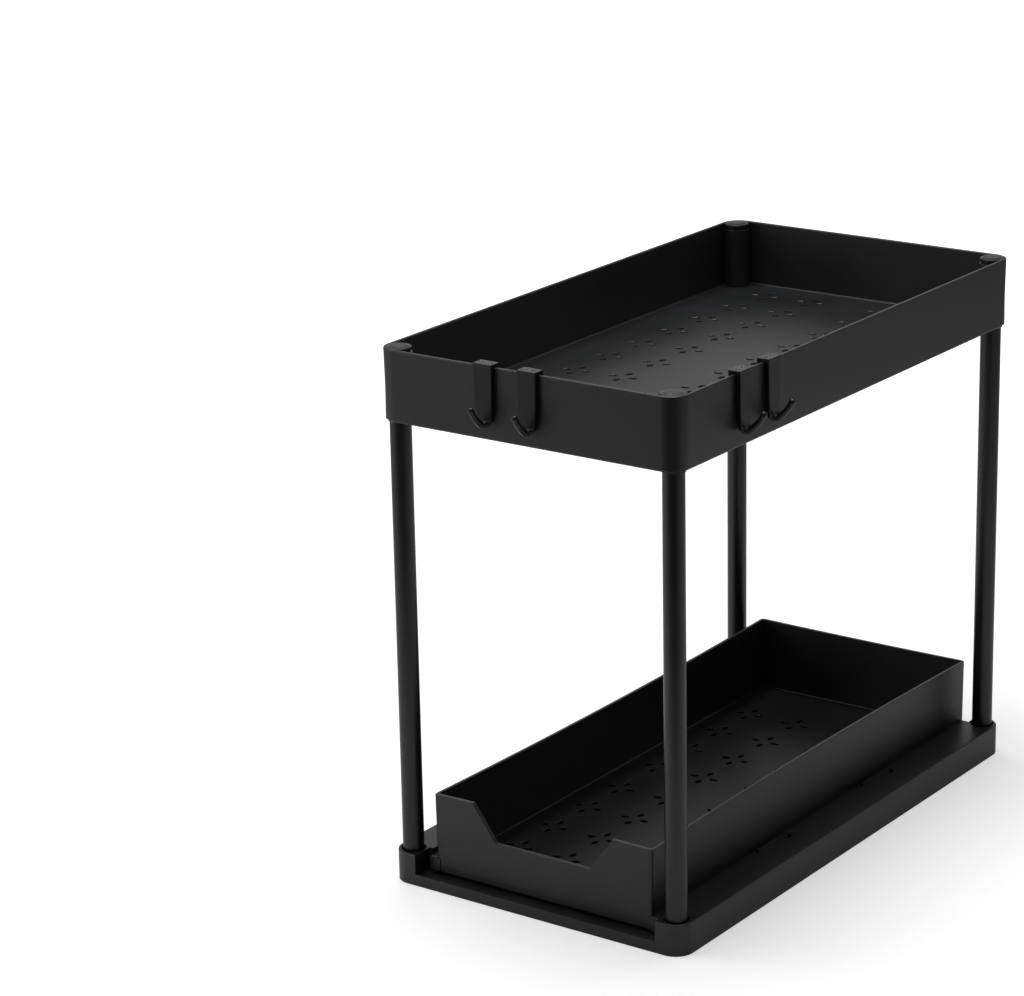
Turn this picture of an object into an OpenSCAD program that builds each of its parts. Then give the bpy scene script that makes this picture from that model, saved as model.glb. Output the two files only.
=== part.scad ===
// Two tier organizer for the cupboard under a sink.
// A low base with a drawer that slides out to the front carries four posts.
// The posts hold a shallow tray, and four hooks hang over the tray's rim.
// Width runs along X, depth along Y with the front at -Y, and Z is up from the shelf.

/* [Overall] */
// Depth of the base and of the tray, front to back
depth = 390; // [330:1:450]
// Width of the base, side to side
width = 211; // [190:1:250]
// Height of the tray's rim above the shelf
height = 336; // [260:1:420]
// Outer radius of the base's and the tray's upright corners
corner_r = 12; // [9:0.5:13]

/* [Base] */
// Height of the base and of its flat side decks
base_h = 20; // [19.5:0.5:30]
// Thickness of the base's walls and decks
base_wall = 2.2; // [1.6:0.1:3]
// Height of the sliding floor's top
floor_z = 6.4; // [5:0.1:7]
// Thickness of the sliding floor
floor_t = 2; // [1.4:0.1:3]
// Height of the low lip across the open front and back
lip_h = 7.4; // [7:0.1:7.5]
// Height of the raised middle of the back lip, which the drawer stops against
back_stop_h = 12; // [9:0.5:15]
// Width of that raised middle
back_stop_w = 60; // [30:1:120]
// How far the open ends reach into the base
gate_l = 15; // [10:0.5:16]
// How much wider the open ends are than the channel, on each side
gate_step = 2.7; // [1.5:0.1:2.9]
// Height of the two rails that the drawer slides on
rail_h = 1.1; // [1:0.05:1.2]
// Width of each rail
rail_w = 3; // [2:0.1:5]
// Thickness of the stiffening ribs under the base
rib_t = 2; // [1.4:0.1:3]
// Largest distance between two stiffening ribs
rib_pitch = 66; // [40:1:100]

/* [Hold-down tabs] */
// Length of each tab that keeps the drawer's runners down
tab_l = 26.5; // [15:0.5:40]
// How far each tab reaches over the runner
tab_reach = 2.8; // [2:0.1:3.4]
// Thickness of each tab
tab_t = 1.4; // [1:0.1:1.5]
// Distance between the front pair of tabs and the back pair
tab_spacing = 125; // [90:1:170]
// Length of the small slot beside the end of each tab
tab_slot_l = 5; // [3:0.5:8]

/* [Drawer] */
// Width of the drawer's bin without its runners
drawer_w = 158.2; // [140:0.1:160]
// Length of the drawer, front to back
drawer_l = 376.5; // [320:0.5:377.5]
// Height of the drawer
drawer_h = 50.7; // [40:0.1:90]
// Distance from the base's front face to the drawer's front face
drawer_setback = 9.8; // [8:0.1:11]
// Thickness of the drawer's side and back walls
drawer_wall = 2; // [1.4:0.1:3]
// Thickness of the drawer's front panel
front_t = 3; // [2:0.1:4]
// Thickness of the drawer's floor
drawer_floor_t = 2.2; // [1.6:0.1:3]
// Outer radius of the drawer's upright corners
drawer_r = 3; // [2:0.1:6]
// Width of the hand notch at the panel's top edge
notch_top_w = 101; // [70:1:120]
// Width of the hand notch at its bottom
notch_low_w = 68; // [40:1:69]
// Depth of the hand notch
notch_d = 22.5; // [12:0.5:30]
// How far each runner stands out from the bin
runner_out = 4.2; // [4:0.1:6]
// Height of each runner
runner_h = 9.5; // [8:0.1:9.5]
// Wall thickness of the hollow runners
runner_wall = 1.6; // [1.2:0.1:2]
// Free space beside each runner in its channel
side_play = 1; // [0.9:0.05:1.4]
// Travel of the drawer from shut to its stop
travel = 240; // [150:1:250]

/* [Tray] */
// Height of the tray's walls
tray_h = 44; // [34:1:70]
// Thickness of the tray's walls
tray_wall = 2.4; // [1.6:0.1:3]
// Thickness of the tray's floor
tray_floor_t = 2; // [1.6:0.1:3]
// How much narrower the tray is than the base, on each side
tray_inset = 0.6; // [0:0.1:1]
// Wall thickness of the round sleeves that take the posts
sleeve_wall = 1.7; // [1.2:0.05:1.9]
// Distance from the rim down to the top of the sleeves
sleeve_drop = 3.4; // [2.8:0.1:5]
// Thickness of the ledge at the sleeve's top that the post bears on
ledge_t = 1.6; // [1.2:0.1:2.4]
// Length of the collar that stands out below the tray around each post
collar_l = 1.2; // [0.6:0.1:2.5]
// Wall thickness of that collar
collar_wall = 0.6; // [0.4:0.1:1]

/* [Posts] */
// Outer diameter of the posts
post_d = 13.1; // [11:0.1:13.4]
// Wall thickness of the posts
post_wall = 1; // [0.7:0.1:1.6]
// Distance from the base's outer faces to the centre of each post
post_inset = 10.1; // [9.8:0.1:10.4]
// Height of the bottom of the sockets in the base
socket_z = 3; // [2:0.5:5]
// Width of the open ring around each post at the deck
socket_ring_w = 1.1; // [0.6:0.1:1.3]
// Depth of that ring
socket_ring_d = 2; // [1:0.1:4]
// Radial clearance between a post and its socket or sleeve
post_fit = 0.05; // [0.03:0.01:0.1]

/* [Post caps] */
// Thickness of each cap's round head
cap_head_t = 2; // [1.6:0.1:2.6]
// How much smaller the head's radius is than the sleeve's
cap_inset = 0.4; // [0.2:0.05:0.8]
// Gap between the head and the tray's corner around it
cap_gap = 0.2; // [0.1:0.05:0.4]
// Chamfer around the top of the head
cap_chamfer = 0.5; // [0.3:0.1:1]
// Radius of the head's raised middle
cap_flat_r = 5.2; // [3:0.1:6]
// Height of the head's raised middle above the rim
cap_rise = 0.6; // [0.2:0.1:1.2]
// Length of the plug below the sleeve's top
plug_l = 14; // [8:0.5:25]
// Radial clearance around the plug
plug_fit = 0.05; // [0.03:0.01:0.1]

/* [Hooks] */
// Width of each hook's strap
hook_w = 12.5; // [10:0.1:15]
// Thickness of the strap outside the tray wall
strap_t = 3; // [2:0.1:4]
// Thickness of the lip inside the tray wall
hook_lip_t = 2.4; // [1.6:0.1:3]
// How far the inner lip reaches below the rim
hook_lip_l = 6; // [4:0.5:9]
// Thickness of the bridge over the rim
hook_bridge_t = 1.8; // [1.4:0.1:2.5]
// Running clearance between a hook and the tray
hook_gap = 0.3; // [0.2:0.05:0.5]
// Length of the strap below the rim
strap_l = 35.5; // [30:0.5:40]
// Length of the strap's tapered lower end
strap_taper_l = 17; // [10:0.5:22]
// Radius of the strap's rounded lower end
strap_end_r = 4.2; // [3:0.1:4.8]
// Diameter of the round finger
finger_d = 2.9; // [2.4:0.1:3]
// How far the finger's tip reaches out from the strap
finger_reach = 14.1; // [11:0.1:20]
// How far the finger's tip rises above its root
finger_rise = 14.2; // [10:0.1:18]
// How much thicker the finger's rounded tip is than the finger
tip_bead = 0.3; // [0.1:0.05:1]
// Angle that the finger turns through from root to tip
finger_turn = 42; // [20:1:60]
// Distance between the two hooks of a pair
hook_spacing = 30.6; // [20:0.1:60]
// Middle of the front pair, to the left of the tray's middle
front_pair_x = 10.3; // [0:0.1:40]
// Middle of the side pair, in front of the tray's middle
side_pair_y = 113.7; // [0:0.1:130]

/* [Flower holes] */
// Length of each petal shaped hole
petal_l = 6.4; // [4:0.1:7]
// Width of each petal shaped hole
petal_w = 3.6; // [2:0.1:4]
// Distance from a flower's middle to the middle of each petal
petal_r = 7.1; // [6:0.1:9]
// Smallest distance from a flower's middle to a wall
flower_margin = 18; // [14:0.5:30]
// Distance between flowers across the tray and the gap at its middle
tray_pitch_x = 34.6; // [28:0.1:45]
tray_gap_x = 51.8; // [28:0.1:60]
// Distance between flowers along the tray
tray_pitch_y = 36.6; // [28:0.1:45]
// Distance between flowers across the drawer and the gap at its middle
drawer_pitch_x = 35.6; // [28:0.1:45]
drawer_gap_x = 40.6; // [28:0.1:50]
// Distance between flowers along the drawer and the gap at its middle
drawer_pitch_y = 37.4; // [28:0.1:45]
drawer_gap_y = 43.4; // [28:0.1:50]

/* [Hidden] */
$fn = 96;
eps = 0.01;
through = 50;

// Free space left between the drawer and what it slides past
slide_gap = 0.3;

drawer_z = floor_z + rail_h + slide_gap;
drawer_top = drawer_z + drawer_h;
drawer_front_y = -depth / 2 + drawer_setback;
drawer_mid_y = drawer_front_y + drawer_l / 2;
runner_x = drawer_w / 2 + runner_out;
runner_back_y = drawer_front_y + drawer_l - drawer_r;
runner_top = drawer_z + runner_h;

channel_x = runner_x + side_play;
gate_x = channel_x + gate_step;
gate_y = depth / 2 - gate_l;
stop_out = side_play - slide_gap;
stop_l = 4;
tab_z = runner_top + 2 * slide_gap;

post_x = width / 2 - post_inset;
post_y = depth / 2 - post_inset;
bore_r = post_d / 2 + post_fit;
sleeve_r = bore_r + sleeve_wall;
collar_r = bore_r + collar_wall;
post_bore_r = post_d / 2 - post_wall;
ledge_r = post_bore_r;
plug_r = ledge_r - plug_fit;

tray_w = width - 2 * tray_inset;
tray_z = height - tray_h;
sleeve_top = height - sleeve_drop;
post_top = sleeve_top - ledge_t;
cap_neck_r = plug_r + 1.4;
cap_head_r = sleeve_r - cap_inset;
cap_neck_h = sleeve_drop - cap_head_t;

finger_chord = sqrt(finger_reach * finger_reach + finger_rise * finger_rise);
finger_r = finger_chord / (2 * sin(finger_turn / 2));
finger_start = atan2(finger_rise, finger_reach) - finger_turn / 2;
strap_mid = hook_gap + strap_t / 2;
finger_root_z = finger_d / 2 + hook_gap - strap_l;

plastic = [0.13, 0.13, 0.135];
post_black = [0.1, 0.1, 0.105];
hook_black = [0.16, 0.16, 0.165];

// Rounded rectangle, centred
module rounded(w, l, r) {
    square([w - 2 * r, l], center = true);
    square([w, l - 2 * r], center = true);
    for (x = [-1, 1], y = [-1, 1])
        translate([x * (w / 2 - r), y * (l / 2 - r)]) circle(r);
}

// Block between two opposite corners
module block(low, high) {
    translate(low) cube(high - low);
}

// Places its children at the four posts
module at_posts() {
    for (x = [-1, 1], y = [-1, 1])
        translate([x * post_x, y * post_y, 0]) children();
}

// Repeats its children on the left and on the right, mirrored
module both_sides() {
    for (side = [0, 1]) mirror([side, 0, 0]) children();
}

// How many flowers stand in a row on one side of the middle
function row_count(half, gap, pitch) =
    max(1, floor((half - flower_margin - gap / 2) / pitch) + 1);

// Distances from the middle of the flowers on one side
function row_places(half, gap, pitch) =
    [for (i = [0 : row_count(half, gap, pitch) - 1]) gap / 2 + i * pitch];

// One pointed petal along X
module petal() {
    bow_r = (petal_l * petal_l + petal_w * petal_w) / (4 * petal_w);
    intersection() {
        translate([0, bow_r - petal_w / 2]) circle(bow_r);
        translate([0, petal_w / 2 - bow_r]) circle(bow_r);
    }
}

// Four petals around a middle
module flower() {
    for (turn = [0 : 90 : 270]) rotate(turn) translate([petal_r, 0]) petal();
}

// Rows of flowers on a floor with the given half width and half length
module flowers(half_x, half_y, gap_x, pitch_x, gap_y, pitch_y) {
    for (x = row_places(half_x, gap_x, pitch_x), y = row_places(half_y, gap_y, pitch_y))
        for (sx = [-1, 1], sy = [-1, 1]) translate([sx * x, sy * y]) flower();
}

// Ribs under the base, as thin bars in both directions
module rib_bars() {
    count_x = ceil(width / rib_pitch);
    count_y = ceil(depth / rib_pitch);
    for (i = [-count_x : count_x])
        translate([i * width / (2 * count_x), 0]) square([rib_t, depth], center = true);
    for (i = [-count_y : count_y])
        translate([0, i * depth / (2 * count_y)]) square([width, rib_t], center = true);
}

// Hollow under the side decks, open to below
module deck_hollow() {
    difference() {
        rounded(width - 2 * base_wall, depth - 2 * base_wall, corner_r - base_wall);
        square([2 * (channel_x + base_wall), depth], center = true);
        square([2 * (gate_x + base_wall), depth], center = true);
        at_posts() circle(sleeve_r);
        rib_bars();
    }
}

// Hollow under the sliding floor, open to below
module floor_hollow() {
    difference() {
        square([2 * (channel_x - base_wall), depth - 2 * base_wall], center = true);
        rib_bars();
    }
}

// Space that the drawer runs in, with the wider open ends
module drawer_channel() {
    block([-channel_x, -gate_y - eps, floor_z], [channel_x, gate_y + eps, through]);
    block([-gate_x, -depth / 2 + base_wall, floor_z], [gate_x, -gate_y, through]);
    block([-gate_x, gate_y, floor_z], [gate_x, depth / 2 - base_wall, through]);
    block([-gate_x, -depth / 2 - 1, lip_h], [gate_x, -gate_y, through]);
    block([-gate_x, gate_y, back_stop_h], [gate_x, depth / 2 + 1, through]);
    both_sides() block([back_stop_w / 2, gate_y, lip_h], [gate_x, depth / 2 + 1, through]);
}

// Tab that reaches from the deck's edge over the drawer's runner
module hold_down_tab() {
    block([channel_x - tab_reach, -tab_l / 2, tab_z], [channel_x + 1, tab_l / 2, tab_z + tab_t]);
}

// Low bump on the channel wall that stops the drawer's bump
module base_stop() {
    y = runner_back_y - stop_l - travel - slide_gap;
    block([channel_x - stop_out, y - stop_l, drawer_z + 1],
          [channel_x + 1, y, runner_top - 1]);
}

module base() {
    color(plastic) {
        difference() {
            linear_extrude(base_h) rounded(width, depth, corner_r);
            drawer_channel();
            translate([0, 0, -1]) linear_extrude(base_h - base_wall + 1) deck_hollow();
            translate([0, 0, -1]) linear_extrude(floor_z - floor_t + 1) floor_hollow();
            at_posts() {
                translate([0, 0, socket_z]) cylinder(h = through, r = bore_r);
                translate([0, 0, base_h - socket_ring_d])
                    cylinder(h = through, r = bore_r + socket_ring_w);
            }
            both_sides() for (y = [-1, 1])
                translate([0, y * tab_spacing / 2 + tab_l / 2, 0])
                    block([channel_x - 1, 0, tab_z], [channel_x + base_wall, tab_slot_l, through]);
        }
        both_sides() {
            for (y = [-1, 1]) translate([0, y * tab_spacing / 2, 0]) hold_down_tab();
            base_stop();
            block([runner_x - runner_out - 2 * rail_w, -depth / 2 + 2 * base_wall, floor_z - 1],
                  [runner_x - runner_out - rail_w, depth / 2 - 2 * base_wall, floor_z + rail_h]);
        }
    }
}

// Hollow runner along one side of the drawer, with its stop bump at the back
module runner() {
    difference() {
        block([drawer_w / 2 - 1, drawer_front_y, drawer_z], [runner_x, runner_back_y, runner_top]);
        block([drawer_w / 2 - 2, drawer_front_y + front_t, drawer_z - 1],
              [runner_x - runner_wall, runner_back_y - runner_wall, runner_top - runner_wall]);
    }
    block([runner_x - 1, runner_back_y - stop_l, drawer_z + 1],
          [runner_x + stop_out, runner_back_y, runner_top - 1]);
}

// Outline of the hand notch in the drawer's front panel, seen from the front
module notch_outline() {
    polygon([[-notch_low_w / 2, drawer_top - notch_d], [notch_low_w / 2, drawer_top - notch_d],
             [notch_top_w / 2, drawer_top + eps], [-notch_top_w / 2, drawer_top + eps]]);
}

module drawer() {
    inner_l = drawer_l - front_t - drawer_wall;
    inner_y = drawer_front_y + front_t + inner_l / 2;
    inner_w = drawer_w - 2 * drawer_wall;
    color(plastic) {
        difference() {
            translate([0, drawer_mid_y, drawer_z]) linear_extrude(drawer_h)
                rounded(drawer_w, drawer_l, drawer_r);
            translate([0, inner_y, drawer_z + drawer_floor_t]) linear_extrude(drawer_h)
                square([inner_w, inner_l], center = true);
            translate([0, drawer_mid_y, drawer_z - 1]) linear_extrude(drawer_floor_t + 2)
                flowers(inner_w / 2, inner_l / 2, drawer_gap_x, drawer_pitch_x,
                        drawer_gap_y, drawer_pitch_y);
            translate([0, drawer_front_y - 1, 0]) rotate([90, 0, 0])
                translate([0, 0, -front_t - 2]) linear_extrude(front_t + 2) notch_outline();
        }
        both_sides() runner();
    }
}

module top_tray() {
    inner_r = corner_r - tray_wall;
    color(plastic) difference() {
        union() {
            difference() {
                translate([0, 0, tray_z]) linear_extrude(tray_h) rounded(tray_w, depth, corner_r);
                translate([0, 0, tray_z + tray_floor_t]) linear_extrude(tray_h)
                    rounded(tray_w - 2 * tray_wall, depth - 2 * tray_wall, inner_r);
            }
            at_posts() {
                translate([0, 0, tray_z]) cylinder(h = sleeve_top - tray_z, r = sleeve_r);
                translate([0, 0, tray_z - collar_l]) cylinder(h = collar_l + 1, r = collar_r);
            }
        }
        translate([0, 0, tray_z - 1]) linear_extrude(tray_floor_t + 2)
            flowers(tray_w / 2 - tray_wall, depth / 2 - tray_wall, tray_gap_x, tray_pitch_x,
                    tray_pitch_y, tray_pitch_y);
        at_posts() {
            translate([0, 0, tray_z - 2 * collar_l])
                cylinder(h = post_top - tray_z + 2 * collar_l, r = bore_r);
            translate([0, 0, post_top - 1]) cylinder(h = ledge_t + 2, r = ledge_r);
            translate([0, 0, sleeve_top]) cylinder(h = through, r = cap_head_r + cap_gap);
        }
    }
}

// Tube that stands in the base's socket and carries the tray on its top end
module post(side, end) {
    color(post_black) translate([side * post_x, end * post_y, socket_z])
        difference() {
            cylinder(h = post_top - socket_z, r = post_d / 2);
            translate([0, 0, -1]) cylinder(h = post_top - socket_z + 2, r = post_bore_r);
        }
}

// Round cap whose neck rests on the sleeve and whose plug reaches into the post
module cap(side, end) {
    color(plastic) translate([side * post_x, end * post_y, sleeve_top])
        rotate_extrude() polygon([
            [0, -plug_l], [plug_r - cap_chamfer, -plug_l], [plug_r, -plug_l + cap_chamfer],
            [plug_r, 0], [cap_neck_r, 0], [cap_neck_r, cap_neck_h], [cap_head_r, cap_neck_h],
            [cap_head_r, sleeve_drop - cap_chamfer], [cap_head_r - cap_chamfer, sleeve_drop],
            [cap_flat_r, sleeve_drop + cap_rise], [0, sleeve_drop + cap_rise]]);
}

// Outline of the strap seen from outside, with the rim's top at zero
module strap_outline() {
    shoulder = strap_taper_l - strap_l;
    polygon([[-hook_w / 2, hook_gap + hook_bridge_t], [-hook_w / 2, shoulder],
             [-strap_end_r, strap_end_r - strap_l], [strap_end_r, strap_end_r - strap_l],
             [hook_w / 2, shoulder], [hook_w / 2, hook_gap + hook_bridge_t]]);
    translate([0, strap_end_r - strap_l]) circle(strap_end_r);
}

// Part of a ring that makes the finger's curve
module finger_arc() {
    far = 2 * finger_r;
    intersection() {
        rotate_extrude() translate([finger_r, 0]) circle(d = finger_d);
        translate([0, 0, -finger_d]) linear_extrude(2 * finger_d)
            polygon([[0, 0], [far, 0], [far * cos(finger_turn), far * sin(finger_turn)]]);
    }
}

// Hook on a wall whose outer face is y = 0 and whose rim is z = 0, outside towards -Y
module hook() {
    lip_y = tray_wall + hook_gap;
    color(hook_black) {
        translate([0, -hook_gap, 0]) rotate([90, 0, 0])
            linear_extrude(strap_t) strap_outline();
        block([-hook_w / 2, -hook_gap - strap_t, hook_gap],
              [hook_w / 2, lip_y + hook_lip_t, hook_gap + hook_bridge_t]);
        block([-hook_w / 2, lip_y, -hook_lip_l],
              [hook_w / 2, lip_y + hook_lip_t, hook_gap + hook_bridge_t]);
        translate([0, -strap_mid, finger_root_z]) {
            translate([0, finger_r * sin(finger_start), finger_r * cos(finger_start)])
                rotate([90, 0, -90]) rotate([0, 0, finger_start - 90]) finger_arc();
            translate([0, -finger_reach, finger_rise]) sphere(d = finger_d + tip_bead);
        }
    }
}

// Hook over the front wall at a distance from the middle
module front_hook(x) {
    translate([x, -depth / 2, height]) hook();
}

// Hook over the right wall at a distance from the middle
module side_hook(y) {
    translate([tray_w / 2, y, height]) rotate([0, 0, 90]) hook();
}

base();
drawer();
top_tray();
post(-1, -1);  // post_front_left
post(1, -1);  // post_front_right
post(-1, 1);  // post_back_left
post(1, 1);  // post_back_right
cap(-1, -1);  // cap_front_left
cap(1, -1);  // cap_front_right
cap(-1, 1);  // cap_back_left
cap(1, 1);  // cap_back_right
front_hook(-front_pair_x - hook_spacing / 2);  // hook_front_left
front_hook(-front_pair_x + hook_spacing / 2);  // hook_front_right
side_hook(-side_pair_y - hook_spacing / 2);  // hook_side_front
side_hook(-side_pair_y + hook_spacing / 2);  // hook_side_back
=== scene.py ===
# Two tier organizer for the cupboard under a sink: looks, light and camera.
import bmesh
import bpy
import math
from mathutils import Matrix, Vector


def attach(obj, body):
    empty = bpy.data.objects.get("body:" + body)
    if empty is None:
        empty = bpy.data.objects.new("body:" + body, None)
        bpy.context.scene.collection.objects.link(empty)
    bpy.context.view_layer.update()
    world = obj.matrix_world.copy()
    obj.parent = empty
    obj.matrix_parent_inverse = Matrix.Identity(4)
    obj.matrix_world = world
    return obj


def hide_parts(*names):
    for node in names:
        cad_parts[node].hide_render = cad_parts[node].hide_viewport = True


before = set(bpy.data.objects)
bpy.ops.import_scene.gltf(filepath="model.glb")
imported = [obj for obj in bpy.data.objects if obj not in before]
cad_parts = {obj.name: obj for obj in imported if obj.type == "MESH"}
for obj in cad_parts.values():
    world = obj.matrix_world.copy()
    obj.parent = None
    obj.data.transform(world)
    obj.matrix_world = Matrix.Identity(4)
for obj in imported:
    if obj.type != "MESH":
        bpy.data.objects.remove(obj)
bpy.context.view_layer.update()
scene = bpy.context.scene
mm = 0.001

# Sizes that several pieces share, in millimetres
organizer = {
    "width": 211.0,
    "depth": 390.0,
    "rimZ": 336.0,
    "postX": 95.4,
    "postY": 184.9,
    "postR": 6.55,
    "cornerR": 12.0,
}


# ---- small helpers for meshes, all lengths in millimetres

def objectFrom(name, verts, faces):
    mesh = bpy.data.meshes.new(name)
    mesh.from_pydata([Vector(v) * mm for v in verts], [], faces)
    mesh.validate()
    obj = bpy.data.objects.new(name, mesh)
    scene.collection.objects.link(obj)
    return obj


def recalc(obj):
    bm = bmesh.new()
    bm.from_mesh(obj.data)
    bmesh.ops.remove_doubles(bm, verts=bm.verts, dist=0.001 * mm)
    bmesh.ops.recalc_face_normals(bm, faces=bm.faces)
    bm.to_mesh(obj.data)
    bm.free()
    return obj


def flatten(obj):
    # modifiers become plain mesh
    graph = bpy.context.evaluated_depsgraph_get()
    mesh = bpy.data.meshes.new_from_object(obj.evaluated_get(graph))
    old = obj.data
    obj.modifiers.clear()
    obj.data = mesh
    mesh.name = obj.name
    if isinstance(old, bpy.types.Mesh):
        bpy.data.meshes.remove(old)
    return obj


def remove(*objs):
    for obj in objs:
        data = obj.data
        bpy.data.objects.remove(obj)
        if isinstance(data, bpy.types.Mesh) and data.users == 0:
            bpy.data.meshes.remove(data)


def combine(obj, others, operation):
    # one exact boolean with each of the others, which are used up
    for other in others:
        mod = obj.modifiers.new("cut", "BOOLEAN")
        mod.operation = operation
        mod.solver = "EXACT"
        mod.object = other
    flatten(obj)
    remove(*others)
    return obj


def joinInto(obj, others):
    bm = bmesh.new()
    bm.from_mesh(obj.data)
    for other in others:
        bm.from_mesh(other.data)
    bm.to_mesh(obj.data)
    bm.free()
    remove(*others)
    return obj


def smooth(obj, degrees=32):
    mesh = obj.data
    mesh.polygons.foreach_set("use_smooth", [True] * len(mesh.polygons))
    mesh.set_sharp_from_angle(angle=math.radians(degrees))
    mesh.update()
    # broad faces keep their own direction, and the roundings between them take up the turn
    mod = obj.modifiers.new("even", "WEIGHTED_NORMAL")
    mod.mode = "FACE_AREA"
    mod.weight = 50
    mod.keep_sharp = True
    return flatten(obj)


def block(low, high):
    x0, y0, z0 = low
    x1, y1, z1 = high
    verts = [(x0, y0, z0), (x1, y0, z0), (x1, y1, z0), (x0, y1, z0),
             (x0, y0, z1), (x1, y0, z1), (x1, y1, z1), (x0, y1, z1)]
    faces = [(3, 2, 1, 0), (4, 5, 6, 7), (0, 1, 5, 4), (1, 2, 6, 5), (2, 3, 7, 6), (3, 0, 4, 7)]
    return objectFrom("block", verts, faces)


def prism(outline, low, high, place=lambda u, v, w: (u, v, w)):
    # an outline in u, v between two heights w
    n = len(outline)
    verts = [place(u, v, low) for u, v in outline] + [place(u, v, high) for u, v in outline]
    faces = [tuple(range(n))[::-1], tuple(range(n, 2 * n))]
    faces += [(i, (i + 1) % n, n + (i + 1) % n, n + i) for i in range(n)]
    return recalc(objectFrom("prism", verts, faces))


def lathe(profile, centre=(0, 0), steps=64):
    # closed profile of radius and height, turned about an upright axis
    verts, faces = [], []
    n = len(profile)
    for i in range(steps):
        a = 2 * math.pi * i / steps
        for r, z in profile:
            verts.append((centre[0] + r * math.cos(a), centre[1] + r * math.sin(a), z))
    for i in range(steps):
        j = (i + 1) % steps
        for k in range(n):
            m = (k + 1) % n
            if profile[k][0] == 0 and profile[m][0] == 0:
                continue
            faces.append((i * n + k, j * n + k, j * n + m, i * n + m))
    return recalc(objectFrom("lathe", verts, faces))


def bevelWhere(obj, wanted, width, segments=3, degrees=20):
    # rounds the edges whose two ends satisfy the test, given in millimetres
    bm = bmesh.new()
    bm.from_mesh(obj.data)
    bm.normal_update()
    least = math.radians(degrees)
    edges = []
    for edge in bm.edges:
        if not edge.is_manifold or edge.calc_face_angle(0) < least:
            continue
        a, b = (v.co / mm for v in edge.verts)
        if wanted(a, b):
            edges.append(edge)
    bmesh.ops.bevel(bm, geom=edges, offset=width * mm, segments=segments, profile=0.5,
                    affect="EDGES", clamp_overlap=True, loop_slide=True)
    bm.to_mesh(obj.data)
    bm.free()
    return obj


def roundedRing(halfX, halfY, radius, alongX, alongY, arc):
    # points of a rounded rectangle, anticlockwise, with extra points along its sides
    points = []
    corners = [(1, -1, -90), (1, 1, 0), (-1, 1, 90), (-1, -1, 180)]
    for index, (sx, sy, start) in enumerate(corners):
        cx, cy = sx * (halfX - radius), sy * (halfY - radius)
        for k in range(arc + 1):
            a = math.radians(start + 90 * k / arc)
            points.append((cx + radius * math.cos(a), cy + radius * math.sin(a)))
        nx, ny, nextStart = corners[(index + 1) % 4]
        a = math.radians(nextStart)
        end = (nx * (halfX - radius) + radius * math.cos(a),
               ny * (halfY - radius) + radius * math.sin(a))
        begin = points[-1]
        count = alongY if index % 2 == 0 else alongX
        for k in range(1, count):
            t = k / count
            points.append((begin[0] + (end[0] - begin[0]) * t, begin[1] + (end[1] - begin[1]) * t))
    return points


def loftTub(name, halfX, halfY, radius, profile, alongX=16, alongY=32, arc=12):
    # rings of a rounded rectangle, each with an inset and a height, closed at both ends
    verts, faces = [], []
    n = 0
    for inset, z in profile:
        ring = roundedRing(halfX - inset, halfY - inset, max(radius - inset, 0.4), alongX, alongY, arc)
        n = len(ring)
        verts += [(x, y, z) for x, y in ring]
    for r in range(len(profile) - 1):
        for i in range(n):
            j = (i + 1) % n
            faces.append((r * n + i, r * n + j, (r + 1) * n + j, (r + 1) * n + i))
    # both middles are closed by strips from side to side, so that a dome stays smooth
    end = 2 * (arc + 1) + alongY - 2
    for start in (0, (len(profile) - 1) * n):
        def mirrored(i):
            return start + 2 * end + alongX - i
        faces.append([mirrored(1)] + [start + i for i in range(2 * end + alongX, n)] + [start, start + 1])
        faces += [(start + i, start + i + 1, mirrored(i + 1), mirrored(i)) for i in range(1, end - 1)]
        faces.append([start + i for i in range(end - 1, end + alongX + 1)] + [mirrored(end - 1)])
    return recalc(objectFrom(name, verts, faces))


def quarter(cx, cz, r, start, end, steps=4):
    # arc in the inset and height plane, angles in degrees
    return [(cx + r * math.cos(math.radians(start + (end - start) * k / steps)),
             cz + r * math.sin(math.radians(start + (end - start) * k / steps)))
            for k in range(steps + 1)]


def warp(obj, move):
    for v in obj.data.vertices:
        p = v.co / mm
        v.co = Vector(move(p.x, p.y, p.z)) * mm
    obj.data.update()
    return obj


# ---- node trees

def addNode(tree, kind, settings=None, links=None, **values):
    # one node with its settings, its unlinked values and its incoming links
    node = tree.nodes.new(kind)
    for key, value in (settings or {}).items():
        setattr(node, key, value)
    for key, value in values.items():
        node.inputs[key.replace("_", " ")].default_value = value
    for key, source in (links or {}).items():
        tree.links.new(source, node.inputs[key])
    return node


def srgb(code):
    # hex colour to linear
    parts = [int(code[i:i + 2], 16) / 255 for i in (1, 3, 5)]
    return tuple(c / 12.92 if c <= 0.04045 else ((c + 0.055) / 1.055) ** 2.4 for c in parts) + (1.0,)


print("helpers ready")


# ---- flower shaped holes, cut through a floor by one node tree

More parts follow.
